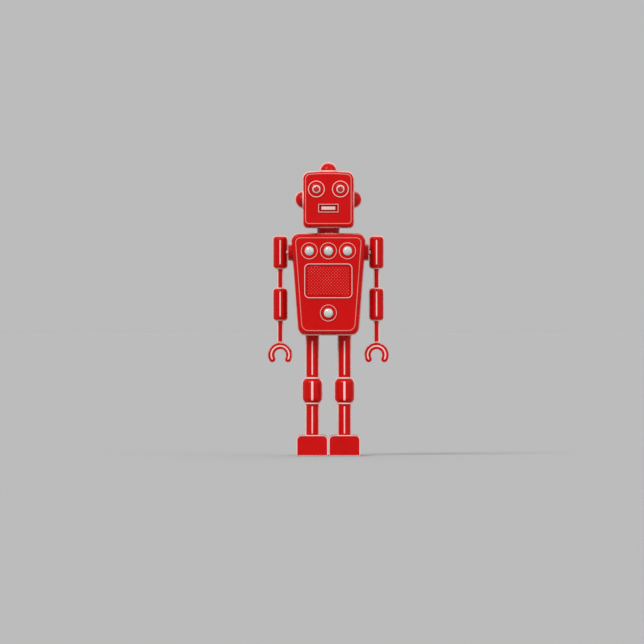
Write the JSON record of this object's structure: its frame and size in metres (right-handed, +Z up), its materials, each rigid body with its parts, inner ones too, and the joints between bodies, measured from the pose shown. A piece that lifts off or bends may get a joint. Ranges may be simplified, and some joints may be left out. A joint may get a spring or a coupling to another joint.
{
  "type": "tin wind-up robot",
  "caption": "Clockwork walking robot in pressed tin: boxy head with lens eyes, tapered torso with dials and grille, tube arms with open claws, tube legs on block feet, key at the back.",
  "frame": {"origin": "on the floor, midway between the soles, under the hip axis", "axes": "+Z up; the robot faces -Y and the key is at +Y; its left hand is on +X"},
  "size_m": [0.0986, 0.072, 0.24],
  "materials": {
    "red_tin": "gloss lithographed tin",
    "cream_tin": "gloss lithographed tin",
    "lens": "milky moulded plastic",
    "steel": "bright plated steel",
    "spring_steel": "blued spring steel",
    "brass": "stamped brass",
    "pad": "moulded rubber"
  },
  "bodies": {
    "torso": {"torso_front_shell": "red_tin", "torso_back_shell": "red_tin", "grille_frame": "cream_tin", "grille_plate": "red_tin", "chest_dial_bezels": "red_tin", "chest_dial_lenses": "lens", "belly_bezel": "red_tin", "neck_collar": "red_tin", "shoulder_bushes": "red_tin", "hip_bracket": "steel", "hip_shaft": "steel", "movement_front_plate": "brass", "movement_back_plate": "brass", "movement_pillars": "steel", "movement_fasteners": "steel", "mainspring": "spring_steel", "button_spring": "spring_steel"},
    "stop_lever": {"stop_button": "lens", "brake_pad": "pad"},
    "winder": {"winding_key": "steel", "winding_arbor": "steel", "great_wheel": "brass", "ratchet_wheel": "spring_steel", "ratchet_click": "spring_steel"},
    "crown": {"crown_wheel": "brass"},
    "crank": {"crankshaft": "steel"},
    "governor": {"governor_wheel": "brass"},
    "fly": {"governor_fly": "brass"},
    "head": {"head_front_shell": "red_tin", "head_back_shell": "red_tin", "head_domes": "red_tin", "eye_bezels": "red_tin", "eye_lenses": "lens", "mouth_frame": "cream_tin", "mouth_plate": "cream_tin", "neck_rivet": "steel"},
    "left_arm": {"left_arm_axle": "steel", "left_upper_sleeve": "red_tin", "left_lower_sleeve": "red_tin", "left_arm_rod": "red_tin"},
    "left_hand": {"left_claw": "red_tin"},
    "left_leg": {"left_leg_upper": "red_tin", "left_knee_cuff": "red_tin", "left_leg_lower": "red_tin", "left_hip_yoke": "steel", "left_foot_shell": "red_tin", "left_foot_chassis": "steel"},
    "left_pawl": {"left_foot_pawl": "steel"},
    "right_arm": {"right_arm_axle": "steel", "right_upper_sleeve": "red_tin", "right_lower_sleeve": "red_tin", "right_arm_rod": "red_tin"},
    "right_hand": {"right_claw": "red_tin"},
    "right_leg": {"right_leg_upper": "red_tin", "right_knee_cuff": "red_tin", "right_leg_lower": "red_tin", "right_hip_yoke": "steel", "right_foot_shell": "red_tin", "right_foot_chassis": "steel"},
    "right_pawl": {"right_foot_pawl": "steel"}
  },
  "joints": [
    {"name": "key_turn", "type": "hinge", "parent": "torso", "child": "winder", "pos_m": [0, 0, 0.14625], "axis": [0, 1, 0], "continuous": true, "deforming": ["mainspring"]},
    {"name": "crown_spin", "type": "hinge", "parent": "torso", "child": "crown", "pos_m": [0, 0, 0.12825], "axis": [0, 1, 0], "continuous": true},
    {"name": "crank_spin", "type": "hinge", "parent": "torso", "child": "crank", "pos_m": [0, 0, 0.12825], "axis": [1, 0, 0], "continuous": true},
    {"name": "governor_spin", "type": "hinge", "parent": "torso", "child": "governor", "pos_m": [-0.00448, 0, 0.16368], "axis": [0, 1, 0], "continuous": true},
    {"name": "fly_spin", "type": "hinge", "parent": "torso", "child": "fly", "pos_m": [0.00502, 0, 0.16368], "axis": [0, 1, 0], "continuous": true},
    {"name": "stop_press", "type": "slide", "parent": "torso", "child": "stop_lever", "axis": [0, 1, 0], "range_m": [0, 0.0015], "stiffness_N_per_m": 300, "springref_m": -0.002, "deforming": ["button_spring"]},
    {"name": "head_turn", "type": "hinge", "parent": "torso", "child": "head", "pos_m": [0, 0, 0.184], "axis": [0, 0, 1], "range_deg": [-90, 90]},
    {"name": "left_hip", "type": "hinge", "parent": "torso", "child": "left_leg", "pos_m": [0.01315, 0, 0.10825], "axis": [1, 0, 0], "range_deg": [-9, 9]},
    {"name": "right_hip", "type": "hinge", "parent": "torso", "child": "right_leg", "pos_m": [-0.01315, 0, 0.10825], "axis": [1, 0, 0], "range_deg": [-9, 9]},
    {"name": "left_shoulder", "type": "hinge", "parent": "torso", "child": "left_arm", "pos_m": [0.0394, 0, 0.16625], "axis": [1, 0, 0], "range_deg": [-21, 21]},
    {"name": "right_shoulder", "type": "hinge", "parent": "torso", "child": "right_arm", "pos_m": [-0.0394, 0, 0.16625], "axis": [1, 0, 0], "range_deg": [-21, 21]},
    {"name": "left_wrist", "type": "hinge", "parent": "left_arm", "child": "left_hand", "pos_m": [0.0394, 0, 0.0884], "axis": [0, 0, 1], "continuous": true},
    {"name": "right_wrist", "type": "hinge", "parent": "right_arm", "child": "right_hand", "pos_m": [-0.0394, 0, 0.0884], "axis": [0, 0, 1], "continuous": true},
    {"name": "left_pawl_lift", "type": "hinge", "parent": "left_leg", "child": "left_pawl", "pos_m": [0.01315, -0.02, 0.005], "axis": [1, 0, 0], "range_deg": [0, 25]},
    {"name": "right_pawl_lift", "type": "hinge", "parent": "right_leg", "child": "right_pawl", "pos_m": [-0.01315, -0.02, 0.005], "axis": [1, 0, 0], "range_deg": [0, 25]}
  ],
  "couplings": [
    {"joint": "crown_spin", "follows": "key_turn", "ratio": -5},
    {"joint": "crank_spin", "follows": "key_turn", "ratio": 10},
    {"joint": "governor_spin", "follows": "key_turn", "ratio": -5},
    {"joint": "fly_spin", "follows": "key_turn", "ratio": 18.75},
    {"joint": "right_hip", "follows": "left_hip", "ratio": -1},
    {"joint": "left_shoulder", "follows": "left_hip", "ratio": -2.33},
    {"joint": "right_shoulder", "follows": "left_hip", "ratio": 2.33}
  ]
}
